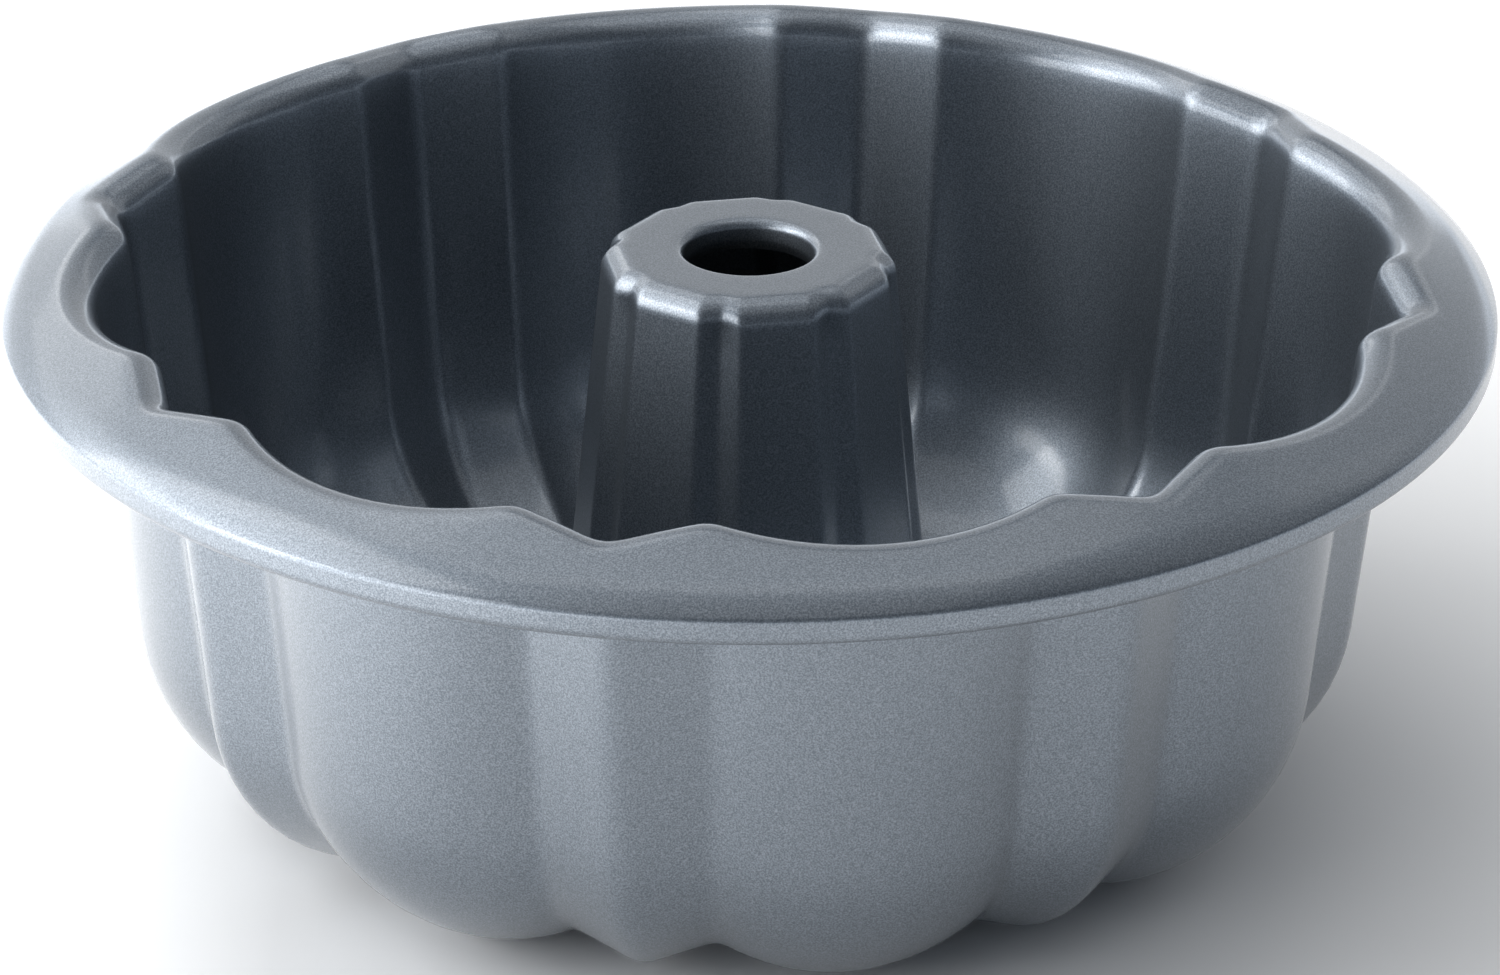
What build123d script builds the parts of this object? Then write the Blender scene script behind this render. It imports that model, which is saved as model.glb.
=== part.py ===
"""Fluted ring-cake pan: a drawn sheet-steel body, a drawn centre tube and the steel wire in the rolled rim.

Millimetres, +Z up. The origin is on the pan's axis at the level it stands on. A broad lobe faces -Y.
"""

import os
from math import acos, cos, degrees, radians, sin, sqrt, tan

from build123d import *

# ---- driving dimensions -------------------------------------------------------------------------
GAUGE = 0.8                      # sheet thickness
LOBES = 8                        # broad lobes; a narrow V-shaped lobe stands between each pair
SECTOR = 360 / LOBES
RIDGE_ANGLE = 14.37              # from the middle of a broad lobe to the ridge beside it
CREASE_ANGLE = SECTOR / 2        # from the middle of a broad lobe to the crease of a narrow one

RIM_RADIUS = 130.0               # outside of the rolled rim
RIM_LEVEL = 90.0                 # level at which the wall radii are given
BEAD_CENTRE = (126.7, 90.8)      # middle of the squared roll: distance from the axis, and height
BEAD_HALF = RIM_RADIUS - BEAD_CENTRE[0]
BEAD_BEND = 1.8                  # outside radius of the roll's two lower bends
CURL_END = 93.0                  # level of the curl's free edge
EDGE_RADIUS = 1.6                # crisp bend from the flange down into the roll
FLANGE_SLOPE = 24.4              # fall of the flange, outwards
FLANGE_LEVEL = 93.95             # level of the flange's cone where it would reach the rim's outside
CROWN_START = 124.0              # the flange curves down more steeply from here
CROWN_RADIUS = 17.0
LIP_RADIUS = 5.1                 # rounding from the flange down into the wall

CUP_PITCH = 66.9                 # axis of each broad lobe's round form, from the pan's axis
CUP_RADIUS = 46.0                # inside, at the rim level
CUP_DRAFT = 5.4
FLOOR_ROUND = 38.0               # rounding of a broad lobe's bottom along the lobe, inside
FLOOR_HALF = 31.0                # half the width of its oval section across the lobe
CREASE_RADIUS = 113.3            # crease of a narrow lobe from the axis, inside, at the rim level
CREASE_DRAFT = 5.75
CREASE_ROUND = 38.7              # rounding of the bottom along a crease
CREASE_FLOOR = 1.65              # inside level of the bottom along a crease
PAD_CUT = 0.15                   # what the small standing pads take off the broad lobes' undersides

SEAT_LEVEL = 8.0                 # flat ring of the floor that carries the tube, upper side
SEAT_BLEND = 4.0
SEAT_HOLE = 41.1

TUBE_TOP = 98.7
TUBE_SHOULDER = 4.0
TUBE_RADIUS = 25.2               # over the facets' corners, at the shoulder
TUBE_TAPER = 5.86
TUBE_GROOVE = 1.3                # depth of each V-groove below the line between its edges
FLARE_CENTRE = (69.6, 39.5)      # sweep of the tube's foot into the channel's bottom
FLARE_RADIUS = 38.7
HOLE_RADIUS = 12.2
HOLE_LIP = 4.5                   # depth of the turned-down lip below the tube's top
HOLE_BEND = 1.6

FOOT_RADIUS = 45.0               # folded foot of the tube, resting on the seat
FOOT_HEIGHT = 2 * GAUGE
NECK_RADIUS = 41.0               # part of the tube that passes through the seat
FLARE_OUT = 44.5                 # what is flared out under the seat to lock the joint

WIRE_RADIUS = 2.4


# ---- geometry helpers -----------------------------------------------------------------------------
def turned(centre, radius, angle):
    """The point of a circle at an angle in degrees from the outward direction."""
    return centre[0] + radius * cos(radians(angle)), centre[1] + radius * sin(radians(angle))


def bearing(centre, point):
    """The angle in degrees of a point seen from a centre."""
    reach = sqrt((point[0] - centre[0]) ** 2 + (point[1] - centre[1]) ** 2)
    angle = degrees(acos((point[0] - centre[0]) / reach))
    return angle if point[1] >= centre[1] else -angle


def arc_between(centre, radius, start, end):
    """An arc on the current line, from one angle to another."""
    middle = (start + end) / 2
    ThreePointArc(turned(centre, radius, start), turned(centre, radius, middle), turned(centre, radius, end))


def upright(angle):
    """The plane through the pan's axis at an angle from the middle of the front broad lobe."""
    turn = radians(angle - 90)
    return Plane(origin=(0, 0, 0), x_dir=(cos(turn), sin(turn), 0), z_dir=(sin(turn), -cos(turn), 0))


# ---- the fluted shape -----------------------------------------------------------------------------
def broad_wall(angle):
    """A broad lobe at an angle from its middle: rim radius, middle radius, middle level, rounding."""
    aside = CUP_PITCH * sin(radians(angle))
    level = FLOOR_ROUND + GAUGE - PAD_CUT
    narrow = CUP_RADIUS - (RIM_LEVEL - level) * tan(radians(CUP_DRAFT))
    rim = CUP_PITCH * cos(radians(angle)) + sqrt(CUP_RADIUS**2 - aside**2)
    middle = CUP_PITCH * cos(radians(angle)) + sqrt(narrow**2 - aside**2)
    return rim, middle, level, FLOOR_ROUND * sqrt(1 - (aside / FLOOR_HALF) ** 2)


def crease_wall():
    """The same four values along the crease of a narrow lobe."""
    level = CREASE_FLOOR + CREASE_ROUND
    middle = CREASE_RADIUS - (RIM_LEVEL - level) * tan(radians(CREASE_DRAFT))
    return CREASE_RADIUS, middle, level, CREASE_ROUND


def flank(crease, ridge, angle):
    """Radius on the straight flank between a crease and a ridge, at an angle from the crease."""
    span = radians(CREASE_ANGLE - RIDGE_ANGLE)
    turn = radians(angle)
    return crease * ridge * sin(span) / (crease * sin(turn) + ridge * sin(span - turn))


def wall_at(angle):
    """The four values at any angle between the middle of a broad lobe and the crease beside it."""
    if angle <= RIDGE_ANGLE:
        return broad_wall(angle)
    ridge = broad_wall(RIDGE_ANGLE)
    crease = crease_wall()
    turn = CREASE_ANGLE - angle
    share = turn / (CREASE_ANGLE - RIDGE_ANGLE)
    rim = flank(crease[0], ridge[0], turn)
    middle = flank(crease[1], ridge[1], turn)
    level = crease[2] + (ridge[2] - crease[2]) * share
    rounding = crease[3] + (ridge[3] - crease[3]) * share
    return rim, middle, level, rounding


# ---- the body ---------------------------------------------------------------------------------------
def flange_level(radius):
    """Level of the flange's cone at a distance from the axis."""
    return FLANGE_LEVEL + (RIM_RADIUS - radius) * tan(radians(FLANGE_SLOPE))


CONE_ANGLE = 90 - FLANGE_SLOPE
CROWN_CENTRE = (
    CROWN_START - CROWN_RADIUS * sin(radians(FLANGE_SLOPE)),
    flange_level(CROWN_START) - CROWN_RADIUS * cos(radians(FLANGE_SLOPE)),
)
EDGE_X = RIM_RADIUS - EDGE_RADIUS
EDGE_CENTRE = (
    EDGE_X,
    CROWN_CENTRE[1] + sqrt((CROWN_RADIUS - EDGE_RADIUS) ** 2 - (EDGE_X - CROWN_CENTRE[0]) ** 2),
)
EDGE_ANGLE = bearing(CROWN_CENTRE, EDGE_CENTRE)


def body_outline(angle):
    """Closed outline of the sheet from the curled bead to the seat, in an upright plane at an angle."""
    rim, middle, level, rounding = wall_at(abs(angle))
    lean = degrees(acos(1 / sqrt(1 + ((rim - middle) / (RIM_LEVEL - level)) ** 2)))
    floor_centre = (middle - rounding / cos(radians(lean)), level)
    lip_x = rim + LIP_RADIUS
    cone_z = flange_level(lip_x)
    lip_z = cone_z - LIP_RADIUS / cos(radians(FLANGE_SLOPE))
    lip_x = rim + (lip_z - RIM_LEVEL) * tan(radians(lean)) + LIP_RADIUS / cos(radians(lean))
    lip_centre = (lip_x, lip_z + (rim + LIP_RADIUS - lip_x) * tan(radians(FLANGE_SLOPE)))
    seat_drop = level - SEAT_LEVEL + SEAT_BLEND
    rise = degrees(acos(seat_drop / (rounding + SEAT_BLEND)))
    seat_x = floor_centre[0] - (rounding + SEAT_BLEND) * sin(radians(rise))
    seat_centre = (seat_x, SEAT_LEVEL - SEAT_BLEND)
    seat_end = SEAT_HOLE - 2

    with BuildLine() as outline:
        # both faces of the curl round the wire and of the flange, lip, wall and floor
        for skin in (0, GAUGE):
            half, bend = BEAD_HALF - skin, BEAD_BEND - skin
            left, right = BEAD_CENTRE[0] - half, BEAD_CENTRE[0] + half
            bend_level = BEAD_CENTRE[1] - half + bend
            Line((left, CURL_END), (left, bend_level))
            arc_between((left + bend, bend_level), bend, 180, 270)
            Line((left + bend, bend_level - bend), (right - bend, bend_level - bend))
            arc_between((right - bend, bend_level), bend, -90, 0)
            Line((right, bend_level), (right, EDGE_CENTRE[1]))
            arc_between(EDGE_CENTRE, EDGE_RADIUS - skin, 0, EDGE_ANGLE)
            arc_between(CROWN_CENTRE, CROWN_RADIUS - skin, EDGE_ANGLE, CONE_ANGLE)
            lip = LIP_RADIUS - skin
            Line(turned(CROWN_CENTRE, CROWN_RADIUS - skin, CONE_ANGLE), turned(lip_centre, lip, CONE_ANGLE))
            arc_between(lip_centre, lip, CONE_ANGLE, 180 - lean)
            hollow = rounding + skin
            Line(turned(lip_centre, lip, 180 - lean), turned(floor_centre, hollow, -lean))
            arc_between(floor_centre, hollow, -lean, -90)
            arc_between(floor_centre, hollow, -90, -90 - rise)
            arc_between(seat_centre, SEAT_BLEND - skin, 90 - rise, 90)
            Line((seat_x, SEAT_LEVEL - skin), (seat_end, SEAT_LEVEL - skin))
        Line((seat_end, SEAT_LEVEL), (seat_end, SEAT_LEVEL - GAUGE))
        Line((BEAD_CENTRE[0] - BEAD_HALF, CURL_END), (BEAD_CENTRE[0] - BEAD_HALF + GAUGE, CURL_END))
    return outline.edges()


def steps(start, end, count):
    """Evenly spaced angles from start to end."""
    return [start + (end - start) * i / count for i in range(count + 1)]


with BuildPart() as broad_lobe:
    for angle in steps(-RIDGE_ANGLE, RIDGE_ANGLE, 8):
        with BuildSketch(upright(angle)):
            make_face(body_outline(angle))
    loft()

with BuildPart() as narrow_flank:
    for angle in steps(RIDGE_ANGLE, CREASE_ANGLE, 3):
        with BuildSketch(upright(angle)):
            make_face(body_outline(angle))
    loft()

with BuildPart() as pan_body:
    with PolarLocations(0, LOBES):
        add(broad_lobe.part)
        add(narrow_flank.part)
        add(mirror(narrow_flank.part, Plane.YZ))
    # the hole that the tube passes through, and the pads that the pan stands on
    with Locations((0, 0, SEAT_LEVEL)):
        Cylinder(SEAT_HOLE, 4 * GAUGE, mode=Mode.SUBTRACT)
    with Locations((0, 0, -1)):
        Cylinder(BEAD_CENTRE[0], 2, mode=Mode.SUBTRACT)
pan_body.part.label = "pan_body"


# ---- the centre tube --------------------------------------------------------------------------------
def tube_radius(level, skin):
    """Radius over the facets' corners at a level, less the part of the gauge that skin gives."""
    taper = radians(TUBE_TAPER)
    shoulder_level = TUBE_TOP - TUBE_SHOULDER
    straight = TUBE_RADIUS + (shoulder_level - level) * tan(taper) - skin / cos(taper)
    drop = FLARE_CENTRE[1] - level
    reach = FLARE_RADIUS + skin
    if drop <= reach * sin(taper):
        return straight
    return FLARE_CENTRE[0] - sqrt(reach**2 - drop**2)


def fluted_ring(radius, groove):
    """Corners of eight flat facets and the creases of the eight V-grooves between them."""
    crease = radius * cos(radians(CREASE_ANGLE - RIDGE_ANGLE)) - groove
    corners = []
    for lobe in range(LOBES):
        middle = lobe * SECTOR - 90
        for angle, reach in ((-RIDGE_ANGLE, radius), (RIDGE_ANGLE, radius), (CREASE_ANGLE, crease)):
            turn = radians(middle + angle)
            corners.append((reach * cos(turn), reach * sin(turn)))
    return corners


def tube_levels(skin):
    """Level, corner radius and groove depth of each ring of the fluted wall, from foot to top."""
    foot = SEAT_LEVEL + FOOT_HEIGHT - 0.4
    rings = []
    for level in (foot, 14, 19, 25, 32):
        fade = (level - foot) / (32 - foot)
        rings.append((level, tube_radius(level, skin), TUBE_GROOVE * fade))
    shoulder_level = TUBE_TOP - TUBE_SHOULDER
    rings.append((shoulder_level, tube_radius(shoulder_level, skin), TUBE_GROOVE))
    bend = TUBE_SHOULDER - skin
    for turn in (30, 60, 90):
        radius = tube_radius(shoulder_level, skin) - bend * (1 - cos(radians(turn)))
        level = shoulder_level + bend * sin(radians(turn))
        rings.append((level, radius, TUBE_GROOVE * (1 - 0.5 * turn / 90)))
    return rings


def fluted_solid(skin):
    """The solid inside one face of the fluted wall."""
    with BuildPart() as solid:
        for level, radius, groove in tube_levels(skin):
            with BuildSketch(Plane.XY.offset(level)):
                Polygon(*fluted_ring(radius, groove), align=None)
        loft(ruled=True)
    return solid.part


tube_skin = fluted_solid(0)
tube_hollow = fluted_solid(GAUGE)

with BuildPart() as centre_tube:
    add(tube_skin)
    add(tube_hollow, mode=Mode.SUBTRACT)
    # the hole in the flat top, with its edge turned down
    with Locations((0, 0, TUBE_TOP)):
        Cylinder(HOLE_RADIUS + HOLE_BEND, 4 * GAUGE, mode=Mode.SUBTRACT)
    with BuildSketch(Plane.XZ):
        with BuildLine():
            bend_centre = (HOLE_RADIUS + HOLE_BEND, TUBE_TOP - HOLE_BEND)
            Line((HOLE_RADIUS, TUBE_TOP - HOLE_LIP), turned(bend_centre, HOLE_BEND, 180))
            arc_between(bend_centre, HOLE_BEND, 180, 90)
            Line(turned(bend_centre, HOLE_BEND, 90), turned(bend_centre, HOLE_BEND - GAUGE, 90))
            arc_between(bend_centre, HOLE_BEND - GAUGE, 90, 180)
            Line(
                turned(bend_centre, HOLE_BEND - GAUGE, 180),
                (HOLE_RADIUS + GAUGE, TUBE_TOP - HOLE_LIP),
            )
            Line((HOLE_RADIUS + GAUGE, TUBE_TOP - HOLE_LIP), (HOLE_RADIUS, TUBE_TOP - HOLE_LIP))
        make_face()
    revolve(axis=Axis.Z)
    # the foot: folded out over the seat, down through its hole and flared out beneath it
    with BuildSketch(Plane.XZ):
        with BuildLine():
            Polyline(
                (NECK_RADIUS - GAUGE, SEAT_LEVEL + FOOT_HEIGHT),
                (FOOT_RADIUS, SEAT_LEVEL + FOOT_HEIGHT),
                (FOOT_RADIUS, SEAT_LEVEL),
                (NECK_RADIUS, SEAT_LEVEL),
                (NECK_RADIUS, SEAT_LEVEL - GAUGE),
                (FLARE_OUT, SEAT_LEVEL - GAUGE),
                (FLARE_OUT, SEAT_LEVEL - 2 * GAUGE),
                (NECK_RADIUS - GAUGE, SEAT_LEVEL - 2 * GAUGE),
                close=True,
            )
        make_face()
    revolve(axis=Axis.Z)
centre_tube.part.label = "centre_tube"

# ---- the wire in the rolled rim ---------------------------------------------------------------------
with BuildPart() as rim_wire:
    with BuildSketch(Plane.XZ):
        with Locations(BEAD_CENTRE):
            Circle(WIRE_RADIUS)
    revolve(axis=Axis.Z)
rim_wire.part.label = "rim_wire"

os.makedirs("parts", exist_ok=True)
for piece in (pan_body, centre_tube, rim_wire):
    export_step(piece.part, f"parts/{piece.part.label}.step")
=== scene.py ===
"""Looks of the fluted ring-cake pan: fine meshes of its sheet pieces, the speckled coating and a studio.

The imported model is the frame. Sizes below are in millimetres and repeat the part's own driving dimensions;
meshes are made in metres. Angles are measured from the middle of the broad lobe that faces -Y, towards +X.
"""

import bpy
import numpy as np
from mathutils import Matrix, Vector


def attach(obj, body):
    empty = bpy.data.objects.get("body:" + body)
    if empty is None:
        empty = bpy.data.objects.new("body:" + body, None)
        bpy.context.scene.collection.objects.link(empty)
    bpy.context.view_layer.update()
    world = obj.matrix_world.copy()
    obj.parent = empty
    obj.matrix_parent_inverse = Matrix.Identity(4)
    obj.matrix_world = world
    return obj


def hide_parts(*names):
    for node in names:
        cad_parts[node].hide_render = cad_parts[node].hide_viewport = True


# ---- sizes, mm ------------------------------------------------------------------------------------
MM = 0.001
GAUGE = 0.8
LOBES = 8
SECTOR = 360 / LOBES
RIDGE_ANGLE = 14.37
CREASE_ANGLE = SECTOR / 2

# rolled rim and flange
RIM_RADIUS = 130.0
RIM_LEVEL = 90.0
BEAD_CENTRE = np.array((126.7, 90.8))
BEAD_HALF = RIM_RADIUS - BEAD_CENTRE[0]
BEAD_BEND = 1.8
CURL_END = 93.0
EDGE_RADIUS = 1.6
FLANGE_SLOPE = np.radians(24.4)
FLANGE_LEVEL = 93.95
CROWN_START = 124.0
CROWN_RADIUS = 17.0
LIP_RADIUS = 5.1

# broad and narrow lobes
CUP_PITCH = 66.9
CUP_RADIUS = 46.0
CUP_DRAFT = np.radians(5.4)
FLOOR_ROUND = 38.0
FLOOR_HALF = 31.0
CREASE_RADIUS = 113.3
CREASE_DRAFT = np.radians(5.75)
CREASE_ROUND = 38.7
CREASE_FLOOR = 1.65
PAD_CUT = 0.15

# seat of the tube
SEAT_LEVEL = 8.0
SEAT_BLEND = 4.0
SEAT_HOLE = 41.1

# centre tube: sizes of its inner skin. Its outer one is a gauge further out, and so that much outside the
# packed tube, whose outer face has these sizes
TUBE_TOP = 98.7
TUBE_SHOULDER = 4.0
TUBE_RADIUS = 25.2
TUBE_TAPER = np.radians(5.86)
TUBE_GROOVE = 1.3
TOP_GROOVE = TUBE_GROOVE * 0.35
GROOVE_FADE = 32                 # below this level the grooves get shallower down to the foot
FLARE_CENTRE = np.array((69.6, 39.5))
FLARE_RADIUS = 38.7
HOLE_RADIUS = 12.2
HOLE_LIP = 4.5
HOLE_BEND = 0.9                  # the outer skin bends round this and a gauge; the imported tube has 1.6
FOOT_RADIUS = 45.0
FOOT_HEIGHT = 2 * GAUGE
FOOT_FADE = 6                    # height over the foot in which the facets turn into a circle
NECK_RADIUS = 41.0
FLARE_OUT = 44.5
LEDGE_OUT = FOOT_RADIUS - 2.5 * GAUGE
TUBE_COLUMNS = 36                # mesh columns over one sector

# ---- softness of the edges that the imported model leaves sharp, in degrees to each side -----------------
RIDGE_SOFT = 1.5
LIP_SOFT = 0.5                   # added at the lip
FLOOR_SOFT = 1.2                 # added on the channel's bottom
CREASE_SOFT = 2.6
FACET_SOFT = 2.2
# the crease's softness takes over from the ridge's between these two angles beside the crease
CREASE_FAR = 4.5
CREASE_NEAR = 1.5
# in shares of the profile's points: the lip's middle and reach, and where the bottom's softness starts to
# grow and over how much it does
LIP_SHARE = 0.52
LIP_REACH = 0.12
FLOOR_START = 0.7
FLOOR_GROWTH = 0.2
LIP_ROUNDS = 8                   # times that the lip is eased along the profile

# fine, even angles over one sector, and the same folded onto its first half
FINE_STEP = 0.25
FINE = np.arange(0, SECTOR, FINE_STEP)
FOLDED = np.where(FINE > CREASE_ANGLE, SECTOR - FINE, FINE)


# ---- profile helpers --------------------------------------------------------------------------------
def polar(centre, radius, degrees):
    """Points of a circle at angles in degrees from the outward direction."""
    turn = np.radians(degrees)
    return np.stack([centre[0] + radius * np.cos(turn), centre[1] + radius * np.sin(turn)], -1)


def bearing(centre, point):
    """Angle in degrees at which a point is seen from a centre."""
    return np.degrees(np.arctan2(point[1] - centre[1], point[0] - centre[0]))


def arc(centre, radius, start, end, count):
    """Count + 1 points along an arc."""
    return polar(centre, radius, np.linspace(start, end, count + 1))


def run(start, end, count):
    """Count + 1 points along a straight line."""
    share = np.linspace(0, 1, count + 1)[:, None]
    return np.asarray(start) * (1 - share) + np.asarray(end) * share


def joined(*pieces):
    """One point list from several that meet end to end."""
    return np.concatenate([pieces[0]] + [piece[1:] for piece in pieces[1:]])


# ---- column helpers: arrays of [fine angle, profile point, (radius, level)] ------------------------------
def soften(columns, widths):
    """Rounds what is sharp across the angle, over each profile point's width in degrees."""
    soft = np.zeros_like(columns)
    total = np.zeros(columns.shape[1])
    reach = int(np.ceil(widths.max() / FINE_STEP))
    for shift in range(-reach, reach + 1):
        share = np.clip(np.abs(shift * FINE_STEP) / widths, 0, 1)
        weight = np.cos(share * np.pi / 2) ** 2
        soft += np.roll(columns, shift, axis=0) * weight[None, :, None]
        total += weight
    return soft / total[None, :, None]


def eased(columns, weight, rounds):
    """Draws each profile point up to halfway to the middle of its neighbours, as the weight says."""
    for _ in range(rounds):
        middle = (columns[:, :-2] + columns[:, 2:]) / 2
        columns = columns.copy()
        columns[:, 1:-1] += (middle - columns[:, 1:-1]) * 0.5 * weight[None, 1:-1, None]
    return columns


def sheet(columns):
    """The profile and a second skin one gauge to the left of its run, in the opposite order."""
    ahead = np.roll(columns, -1, axis=1)
    behind = np.roll(columns, 1, axis=1)
    ahead[:, -1] = 2 * columns[:, -1] - columns[:, -2]
    behind[:, 0] = 2 * columns[:, 0] - columns[:, 1]
    along = ahead - behind
    along /= np.linalg.norm(along, axis=-1, keepdims=True)
    left = np.stack([-along[..., 1], along[..., 0]], -1)
    second = columns + left * GAUGE
    return np.concatenate([columns, second[:, ::-1]], axis=1)


def pick(columns, wanted):
    """Columns at the wanted angles of the sector, read between the fine ones."""
    flat = columns.reshape(len(FINE), -1)
    wrapped = np.concatenate([flat, flat[:1]])
    spots = np.concatenate([FINE, [SECTOR]])
    picked = [np.interp(wanted, spots, wrapped[:, k]) for k in range(flat.shape[1])]
    return np.stack(picked, -1).reshape(len(wanted), -1, 2)


def all_round(name, columns, wanted):
    """A mesh of the whole turn from one sector's columns. Its normals point into the metal."""
    angles = np.concatenate([wanted + lobe * SECTOR for lobe in range(LOBES)])
    rings = np.concatenate([pick(columns, wanted)] * LOBES)
    count, points = rings.shape[:2]
    turn = np.radians(angles - 90)[:, None]
    radius, level = rings[..., 0], rings[..., 1]
    verts = np.stack([radius * np.cos(turn), radius * np.sin(turn), level], -1) * MM
    row = np.arange(count)[:, None] * points
    next_row = (np.arange(count)[:, None] + 1) % count * points
    along = np.arange(points)[None, :]
    after = (along + 1) % points
    faces = np.stack([row + along, row + after, next_row + after, next_row + along], -1).reshape(-1, 4)
    mesh = bpy.data.meshes.new(name)
    mesh.from_pydata(verts.reshape(-1, 3).tolist(), [], faces.tolist())
    mesh.polygons.foreach_set("use_smooth", np.ones(len(faces), bool))
    mesh.update()
    piece = bpy.data.objects.new(name, mesh)
    bpy.context.scene.collection.objects.link(piece)
    return piece


# ---- the body ---------------------------------------------------------------------------------------
def broad_wall(angle):
    """A broad lobe at an angle from its middle: rim radius, middle radius, middle level, rounding."""
    aside = CUP_PITCH * np.sin(np.radians(angle))
    out = CUP_PITCH * np.cos(np.radians(angle))
    level = FLOOR_ROUND + GAUGE - PAD_CUT
    narrow = CUP_RADIUS - (RIM_LEVEL - level) * np.tan(CUP_DRAFT)
    rim = out + np.sqrt(CUP_RADIUS**2 - aside**2)
    middle = out + np.sqrt(narrow**2 - aside**2)
    rounding = FLOOR_ROUND * np.sqrt(1 - (aside / FLOOR_HALF) ** 2)
    return np.array((rim, middle, level, rounding))


def crease_wall():
    """The same four values in the middle of a narrow lobe."""
    level = CREASE_FLOOR + CREASE_ROUND
    middle = CREASE_RADIUS - (RIM_LEVEL - level) * np.tan(CREASE_DRAFT)
    return np.array((CREASE_RADIUS, middle, level, CREASE_ROUND))


def wall_at(angle):
    """The four values at an angle from the middle of a broad lobe, up to the crease beside it."""
    if angle <= RIDGE_ANGLE:
        return broad_wall(angle)
    ridge, crease = broad_wall(RIDGE_ANGLE), crease_wall()
    span = np.radians(CREASE_ANGLE - RIDGE_ANGLE)
    turn = np.radians(CREASE_ANGLE - angle)
    both = crease[:2] * ridge[:2] * np.sin(span)
    radii = both / (crease[:2] * np.sin(turn) + ridge[:2] * np.sin(span - turn))
    return np.concatenate([radii, crease[2:] + (ridge[2:] - crease[2:]) * turn / span])


def flange_level(radius):
    """Level of the flange's cone at a distance from the axis."""
    return FLANGE_LEVEL + (RIM_RADIUS - radius) * np.tan(FLANGE_SLOPE)


def rolled_rim():
    """The upper face of the sheet from the curl's free edge, round the roll, to the flange's cone."""
    left = BEAD_CENTRE[0] - BEAD_HALF
    bottom = BEAD_CENTRE[1] - BEAD_HALF
    cone_angle = 90 - np.degrees(FLANGE_SLOPE)
    crown_end = np.array((CROWN_START, flange_level(CROWN_START)))
    crown = crown_end - polar((0, 0), CROWN_RADIUS, cone_angle)
    edge_x = RIM_RADIUS - EDGE_RADIUS
    edge_rise = np.sqrt((CROWN_RADIUS - EDGE_RADIUS) ** 2 - (edge_x - crown[0]) ** 2)
    edge = np.array((edge_x, crown[1] + edge_rise))
    edge_angle = bearing(crown, edge)
    bend_level = bottom + BEAD_BEND
    inner, outer = left + BEAD_BEND, RIM_RADIUS - BEAD_BEND
    return joined(
        run((left, CURL_END), (left, bend_level), 3),
        arc((inner, bend_level), BEAD_BEND, 180, 270, 8),
        run((inner, bottom), (outer, bottom), 3),
        arc((outer, bend_level), BEAD_BEND, -90, 0, 10),
        run((RIM_RADIUS, bend_level), (RIM_RADIUS, edge[1]), 5),
        arc(edge, EDGE_RADIUS, 0, edge_angle, 6),
        arc(crown, CROWN_RADIUS, edge_angle, cone_angle, 10),
    )


def body_profile(angle, rim_points):
    """The upper face of the sheet from the curl's free edge to the seat's hole, in the plane at an angle."""
    rim, middle, level, rounding = wall_at(angle)
    lean = np.arctan2(rim - middle, RIM_LEVEL - level)
    floor_centre = np.array((middle - rounding / np.cos(lean), level))
    cone_angle = 90 - np.degrees(FLANGE_SLOPE)
    lip_z = flange_level(rim + LIP_RADIUS) - LIP_RADIUS / np.cos(FLANGE_SLOPE)
    lip_x = rim + (lip_z - RIM_LEVEL) * np.tan(lean) + LIP_RADIUS / np.cos(lean)
    lip_centre = np.array((lip_x, lip_z + (rim + LIP_RADIUS - lip_x) * np.tan(FLANGE_SLOPE)))
    lean = np.degrees(lean)
    wall_top = polar(lip_centre, LIP_RADIUS, 180 - lean)
    rise = np.degrees(np.arccos((level - SEAT_LEVEL + SEAT_BLEND) / (rounding + SEAT_BLEND)))
    seat_x = floor_centre[0] - (rounding + SEAT_BLEND) * np.sin(np.radians(rise))
    hole_edge = SEAT_HOLE + GAUGE
    return joined(
        rim_points,
        run(rim_points[-1], polar(lip_centre, LIP_RADIUS, cone_angle), 6),
        arc(lip_centre, LIP_RADIUS, cone_angle, 180 - lean, 14),
        run(wall_top, polar(floor_centre, rounding, -lean), 12),
        arc(floor_centre, rounding, -lean, -90, 14),
        arc(floor_centre, rounding, -90, -90 - rise, 10),
        arc((seat_x, SEAT_LEVEL - SEAT_BLEND), SEAT_BLEND, 90 - rise, 90, 5),
        run((seat_x, SEAT_LEVEL), (hole_edge, SEAT_LEVEL), 2),
        run((hole_edge, SEAT_LEVEL), (SEAT_HOLE, SEAT_LEVEL), 1),
    )


def body_angles():
    """Angles over one sector, closer together over the ridges and creases."""
    # start, end and number of columns
    parts = ((0, 12.2, 8), (12.2, 16.6, 10), (16.6, 19.2, 3), (19.2, CREASE_ANGLE, 7))
    half = np.concatenate([np.linspace(start, end, count, endpoint=False) for start, end, count in parts])
    return np.concatenate([half, [CREASE_ANGLE], SECTOR - half[:0:-1]])


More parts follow.
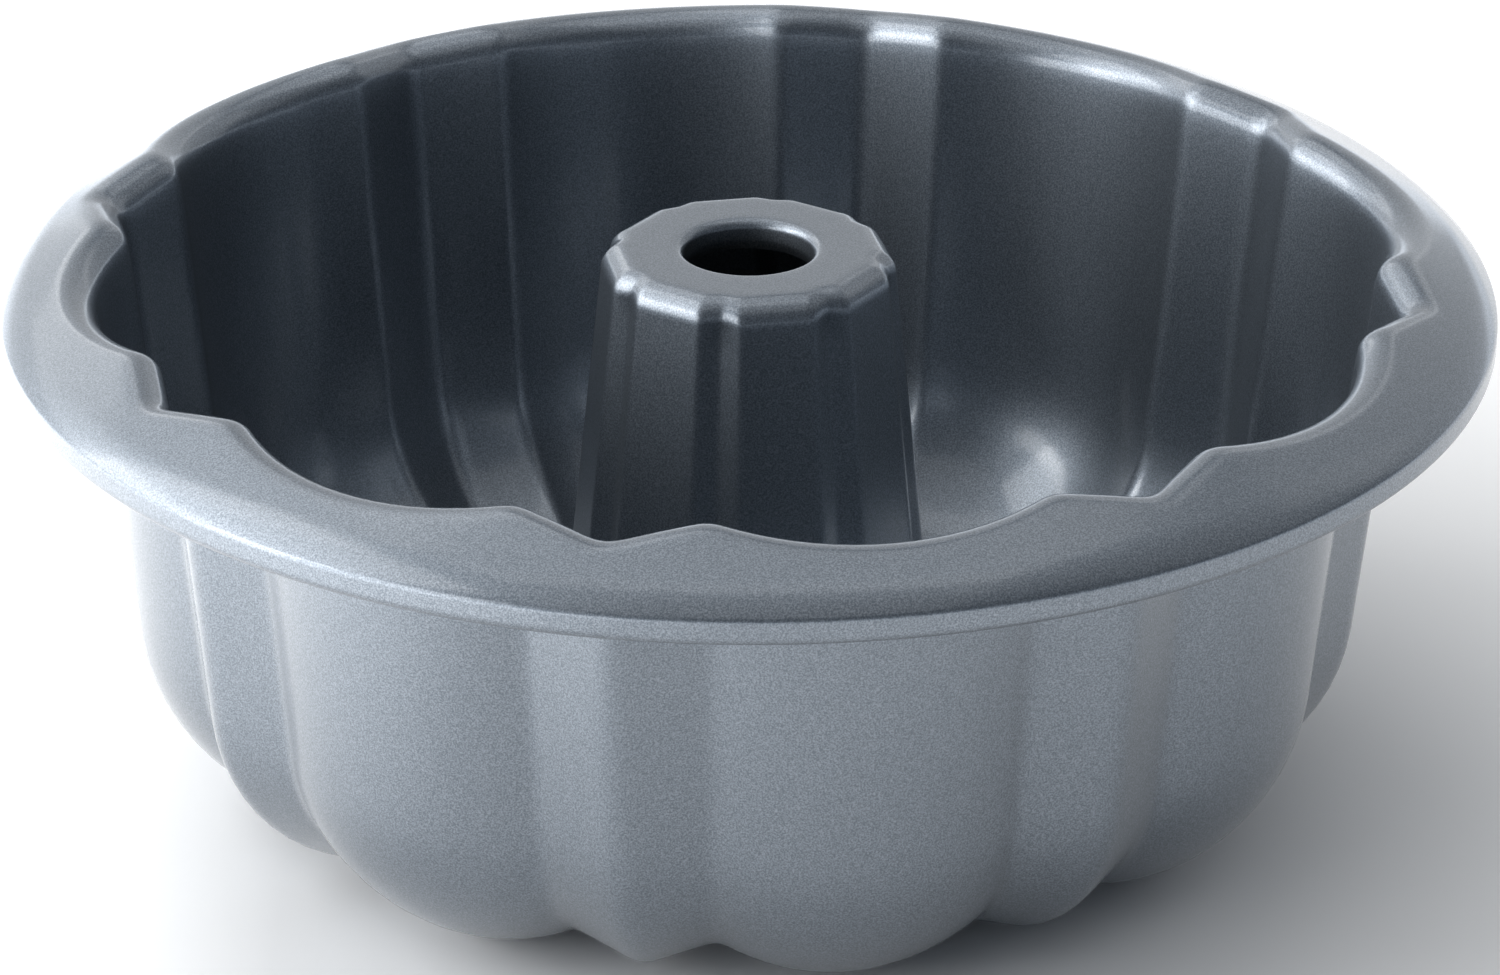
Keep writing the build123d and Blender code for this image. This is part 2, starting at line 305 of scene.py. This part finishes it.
def make_body():
    """The drawn shell with its curled rim. Its ridges are tight, and its creases, lips and floor softer."""
    rim_points = rolled_rim()
    columns = np.array([body_profile(angle, rim_points) for angle in FOLDED])
    share = np.arange(columns.shape[1]) / (columns.shape[1] - 1)
    lip = np.clip(1 - np.abs(share - LIP_SHARE) / LIP_REACH, 0, 1)
    floor = np.clip((share - FLOOR_START) / FLOOR_GROWTH, 0, 1)
    tight = soften(columns, RIDGE_SOFT + LIP_SOFT * lip + FLOOR_SOFT * floor)
    wide = soften(columns, np.full(len(share), CREASE_SOFT))
    near = np.clip((FOLDED - CREASE_ANGLE + CREASE_FAR) / (CREASE_FAR - CREASE_NEAR), 0, 1)[:, None, None]
    near = near * near * (3 - 2 * near)
    shell = sheet(eased(tight * (1 - near) + wide * near, lip, LIP_ROUNDS))
    # the flats that the pan stands on
    shell[..., 1] = np.maximum(shell[..., 1], 0)
    return all_round("pan_shell", shell, body_angles())


# ---- the centre tube ----------------------------------------------------------------------------------
def tube_radius(level):
    """Radius over the facets' corners at a level."""
    shoulder = TUBE_TOP - TUBE_SHOULDER
    drop = FLARE_CENTRE[1] - level
    if drop <= FLARE_RADIUS * np.sin(TUBE_TAPER):
        return TUBE_RADIUS + (shoulder - level) * np.tan(TUBE_TAPER)
    return FLARE_CENTRE[0] - np.sqrt(FLARE_RADIUS**2 - drop**2)


def fluted(radius, groove, angle):
    """Radius at an angle of an outline of flat facets and V-grooves."""
    if angle <= RIDGE_ANGLE:
        return radius * np.cos(np.radians(RIDGE_ANGLE)) / np.cos(np.radians(angle))
    span = np.radians(CREASE_ANGLE - RIDGE_ANGLE)
    turn = np.radians(CREASE_ANGLE - angle)
    crease = radius * np.cos(span) - groove
    return crease * radius * np.sin(span) / (crease * np.sin(turn) + radius * np.sin(span - turn))


def tube_rings():
    """Corner radius, groove depth, share of roundness and level, from the hole's edge down to the foot."""
    rings = []
    # the hole's lip and its bend
    bend_radius = HOLE_RADIUS + HOLE_BEND
    for level in np.linspace(TUBE_TOP - HOLE_LIP, TUBE_TOP - HOLE_BEND, 3):
        rings.append((HOLE_RADIUS, 0, 1, level))
    for turn in np.linspace(0, 90, 7)[1:]:
        radius, level = polar((bend_radius, TUBE_TOP - HOLE_BEND), HOLE_BEND, 180 - turn)
        rings.append((radius, 0, 1, level))
    # the flat top
    shoulder = TUBE_TOP - TUBE_SHOULDER
    flat_edge = tube_radius(shoulder) - TUBE_SHOULDER
    for share in np.linspace(0, 1, 6)[1:]:
        radius = bend_radius + (flat_edge - bend_radius) * share
        rings.append((radius, TOP_GROOVE * share, (1 - share) ** 2, TUBE_TOP))
    # the shoulder
    for turn in np.linspace(0, 90, 10)[1:]:
        angle = np.radians(90 - turn)
        radius = tube_radius(shoulder) - TUBE_SHOULDER * (1 - np.cos(angle))
        groove = TUBE_GROOVE - (TUBE_GROOVE - TOP_GROOVE) * np.sin(angle)
        rings.append((radius, groove, 0, shoulder + TUBE_SHOULDER * np.sin(angle)))
    # the wall
    foot = SEAT_LEVEL + FOOT_HEIGHT
    levels = joined(np.linspace(shoulder, GROOVE_FADE, 14), np.linspace(GROOVE_FADE, foot, 14))
    for level in levels[1:]:
        groove = TUBE_GROOVE * min(1, (level - foot) / (GROOVE_FADE - foot))
        roundness = max(0, 1 - (level - foot) / FOOT_FADE) ** 2
        rings.append((tube_radius(level) - GAUGE * roundness, groove, roundness, level))
    return rings


def tube_foot():
    """The fold on the seat, the neck through its hole, the flare under it, and the way back up inside."""
    neck_inside = NECK_RADIUS - GAUGE
    flare_top = SEAT_LEVEL - GAUGE
    flare_bottom = SEAT_LEVEL - 2 * GAUGE
    ledge = SEAT_LEVEL + GAUGE
    corners = (
        (FOOT_RADIUS - GAUGE, SEAT_LEVEL),
        (NECK_RADIUS, SEAT_LEVEL),
        (NECK_RADIUS, flare_top),
        (FLARE_OUT, flare_top),
        (FLARE_OUT, flare_bottom),
        (neck_inside, flare_bottom),
        (neck_inside, ledge),
        (LEDGE_OUT, ledge),
    )
    counts = (2, 1, 2, 1, 2, 2, 2)
    fold = arc((FOOT_RADIUS - GAUGE, SEAT_LEVEL + GAUGE), GAUGE, 90, -90, 8)
    return joined(fold, *[run(*step) for step in zip(corners, corners[1:], counts)])


def make_tube():
    """The drawn tube, its hole's turned-down lip and its foot folded round the seat's edge."""
    rings = tube_rings()
    columns = np.array(
        [
            [(fluted(radius, groove, angle) * (1 - roundness) + radius * roundness, level)
             for radius, groove, roundness, level in rings]
            for angle in FOLDED
        ]
    )
    skins = sheet(soften(columns, np.full(len(rings), FACET_SOFT)))
    inner, outer = skins[:, :len(rings)], skins[:, len(rings):]
    foot = np.repeat(tube_foot()[None], len(FINE), axis=0)
    columns = np.concatenate([inner, foot, outer], axis=1)
    return all_round("fluted_tube", columns, np.linspace(0, SECTOR, TUBE_COLUMNS, endpoint=False))


# ---- materials ----------------------------------------------------------------------------------------
def give(node, **values):
    """Sets a node's sockets; an underscore in a name stands for a space."""
    for socket, value in values.items():
        node.inputs[socket.replace("_", " ")].default_value = value


def new_material(name):
    """A material and its shader."""
    material = bpy.data.materials.new(name)
    material.use_nodes = True
    return material, material.node_tree.nodes["Principled BSDF"]


def coating():
    """Dark slate non-stick coating: metallic, finely speckled, with a slight orange-peel grain."""
    material, shader = new_material("nonstick_coating")
    nodes, links = material.node_tree.nodes, material.node_tree.links
    place = nodes.new("ShaderNodeTexCoord")
    grain = nodes.new("ShaderNodeTexNoise")
    give(grain, Scale=3600, Detail=1)
    links.new(place.outputs["Object"], grain.inputs["Vector"])
    tint = nodes.new("ShaderNodeValToRGB")
    dark, light = tint.color_ramp.elements
    dark.position, dark.color = 0.35, (0.135, 0.160, 0.190, 1)
    light.position, light.color = 0.75, (0.290, 0.325, 0.365, 1)
    links.new(grain.outputs["Fac"], tint.inputs["Fac"])
    links.new(tint.outputs["Color"], shader.inputs["Base Color"])
    bump = nodes.new("ShaderNodeBump")
    give(bump, Strength=0.2, Distance=0.00006)
    links.new(grain.outputs["Fac"], bump.inputs["Height"])
    links.new(bump.outputs["Normal"], shader.inputs["Normal"])
    give(shader, Metallic=0.95, Roughness=0.41, Coat_Weight=1, Coat_Roughness=0.14)
    return material


def steel():
    """Drawn steel wire."""
    material, shader = new_material("wire_steel")
    give(shader, Base_Color=(0.56, 0.57, 0.58, 1), Metallic=1, Roughness=0.35)
    return material


# ---- the studio, in metres ------------------------------------------------------------------------------
PAN_MIDDLE = Vector((0, 0, 0.06))
# level directions of the camera's view
VIEW_AHEAD = np.array((0.1967, 0.9805))
VIEW_RIGHT = np.array((0.9805, -0.1967))
CAMERA_SPOT = Vector((-0.1848, -0.9233, 0.50415))
CAMERA_PITCH = np.radians(25.602)
CAMERA_ROLL = 0.263
CAMERA_LENS = 141.275

SKY_COLOUR = (0.85, 0.95, 1.08, 1)
SKY_LIGHT = 0.13
HORIZON_LIGHT = 1.15
# sines of the heights between which the horizon's light falls to the sky's
HORIZON_EDGE = (0.06, 0.10)

FLOOR_REACH = 4.0
# the floor's own glow: which distance it grows along, from where to where, and how much it adds
FLOOR_GLOW = (
    ("LENGTH", (0, 0, 0), 0.08, 0.30, 0.36),
    ("DOT_PRODUCT", (-VIEW_RIGHT[0], -VIEW_RIGHT[1], 0), 0.08, 0.30, 1.45),
    ("LENGTH", (0, 0, 0), 0.6, 1.6, 0.6),
)

BOX_SIDE = 1.7
BOX_DISTANCE = 2
# name, bearing in degrees (0 is behind the pan as the camera sees it, 90 to its right), height, watts
SOFT_BOXES = (
    ("front_left_low", 240, 8, 26),
    ("left_low", 270, 12, 21),
    ("left_high", 270, 38, 21),
    ("back_left_low", 315, 12, 7),
    ("back_left_high", 315, 42, 8),
    ("back_high", 0, 75, 6.5),
    ("back_low", 0, 20, 5),
    ("front_high", 180, 72, 3.5),
    ("back_right", 45, 25, 4),
    ("right_high", 80, 50, 2),
)


def aim(thing, spot, target, roll=0.0):
    """Puts a light or camera at a spot, looking at a target."""
    look = (Vector(target) - Vector(spot)).normalized()
    right = look.cross(Vector((0, 0, 1))).normalized()
    up = right.cross(look)
    turn = np.radians(roll)
    right, up = right * np.cos(turn) + up * np.sin(turn), up * np.cos(turn) - right * np.sin(turn)
    rotation = Matrix((right, up, -look)).transposed().to_4x4()
    thing.matrix_world = Matrix.Translation(Vector(spot)) @ rotation


def make_sky():
    """Dim all over, with a pale band along the horizon."""
    world = bpy.data.worlds.new("studio")
    bpy.context.scene.world = world
    world.use_nodes = True
    nodes, links = world.node_tree.nodes, world.node_tree.links
    backdrop = nodes["Background"]
    give(backdrop, Color=SKY_COLOUR)
    look = nodes.new("ShaderNodeTexCoord")
    rise = nodes.new("ShaderNodeSeparateXYZ")
    links.new(look.outputs["Generated"], rise.inputs["Vector"])
    haze = nodes.new("ShaderNodeMapRange")
    low, high = HORIZON_EDGE
    give(haze, From_Min=low, From_Max=high, To_Min=HORIZON_LIGHT, To_Max=SKY_LIGHT)
    links.new(rise.outputs["Z"], haze.inputs["Value"])
    links.new(haze.outputs["Result"], backdrop.inputs["Strength"])


def pale_floor():
    """Pale material that also glows, more so away from the pan and to the camera's left."""
    material, shader = new_material("pale_floor")
    nodes, links = material.node_tree.nodes, material.node_tree.links
    give(shader, Base_Color=(0.88, 0.88, 0.88, 1), Roughness=0.8, Emission_Color=(1, 1, 1, 1))
    place = nodes.new("ShaderNodeTexCoord")
    total = shader.inputs["Emission Strength"]
    for operation, direction, near, far, strength in FLOOR_GLOW:
        reach = nodes.new("ShaderNodeVectorMath")
        reach.operation = operation
        reach.inputs[1].default_value = direction
        links.new(place.outputs["Object"], reach.inputs[0])
        glow = nodes.new("ShaderNodeMapRange")
        give(glow, From_Min=near, From_Max=far, To_Min=0, To_Max=strength)
        links.new(reach.outputs["Value"], glow.inputs["Value"])
        plus = nodes.new("ShaderNodeMath")
        plus.operation = "ADD"
        plus.inputs[1].default_value = 0
        links.new(glow.outputs["Result"], plus.inputs[0])
        links.new(plus.outputs["Value"], total)
        total = plus.inputs[1]
    return material


def make_floor():
    """A large level square that the pan stands on."""
    mesh = bpy.data.meshes.new("floor")
    corners = [(x * FLOOR_REACH, y * FLOOR_REACH, 0) for x, y in ((-1, -1), (1, -1), (1, 1), (-1, 1))]
    mesh.from_pydata(corners, [], [(0, 1, 2, 3)])
    floor = bpy.data.objects.new("floor", mesh)
    bpy.context.scene.collection.objects.link(floor)
    mesh.materials.append(pale_floor())


def make_softbox(name, bearing_from_view, height, power):
    """A square area light that looks at the pan from a bearing and height in degrees."""
    side, rise = np.radians(bearing_from_view), np.radians(height)
    flat = VIEW_AHEAD * np.cos(side) + VIEW_RIGHT * np.sin(side)
    direction = Vector((flat[0] * np.cos(rise), flat[1] * np.cos(rise), np.sin(rise)))
    data = bpy.data.lights.new(name, "AREA")
    data.shape = "RECTANGLE"
    data.size, data.size_y = BOX_SIDE, BOX_SIDE
    data.energy = power
    light = bpy.data.objects.new(name, data)
    bpy.context.scene.collection.objects.link(light)
    aim(light, PAN_MIDDLE + BOX_DISTANCE * direction, PAN_MIDDLE)


def make_camera():
    """A camera with a long lens, in front of the pan and a little to its -X side, looking down at it."""
    data = bpy.data.cameras.new("camera")
    data.sensor_width = 36
    data.lens = CAMERA_LENS
    camera = bpy.data.objects.new("camera", data)
    bpy.context.scene.collection.objects.link(camera)
    flat = VIEW_AHEAD * np.cos(CAMERA_PITCH)
    ahead = Vector((flat[0], flat[1], -np.sin(CAMERA_PITCH)))
    aim(camera, CAMERA_SPOT, CAMERA_SPOT + ahead, roll=CAMERA_ROLL)
    bpy.context.scene.camera = camera


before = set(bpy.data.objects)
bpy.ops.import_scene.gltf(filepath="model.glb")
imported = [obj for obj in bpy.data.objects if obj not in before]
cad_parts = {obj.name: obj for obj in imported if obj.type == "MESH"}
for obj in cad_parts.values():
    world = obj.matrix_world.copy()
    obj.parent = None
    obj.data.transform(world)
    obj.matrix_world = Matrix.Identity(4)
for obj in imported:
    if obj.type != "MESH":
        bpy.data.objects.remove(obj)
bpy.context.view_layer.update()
coat = coating()
for piece, node in ((make_body(), "pan_body"), (make_tube(), "centre_tube")):
    piece.data.materials.append(coat)
    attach(piece, "root")
    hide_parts(node)
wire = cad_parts["rim_wire"].data
wire.materials.clear()
wire.materials.append(steel())

bpy.context.scene.view_settings.view_transform = "Standard"
make_sky()
make_floor()
for box in SOFT_BOXES:
    make_softbox(*box)
make_camera()
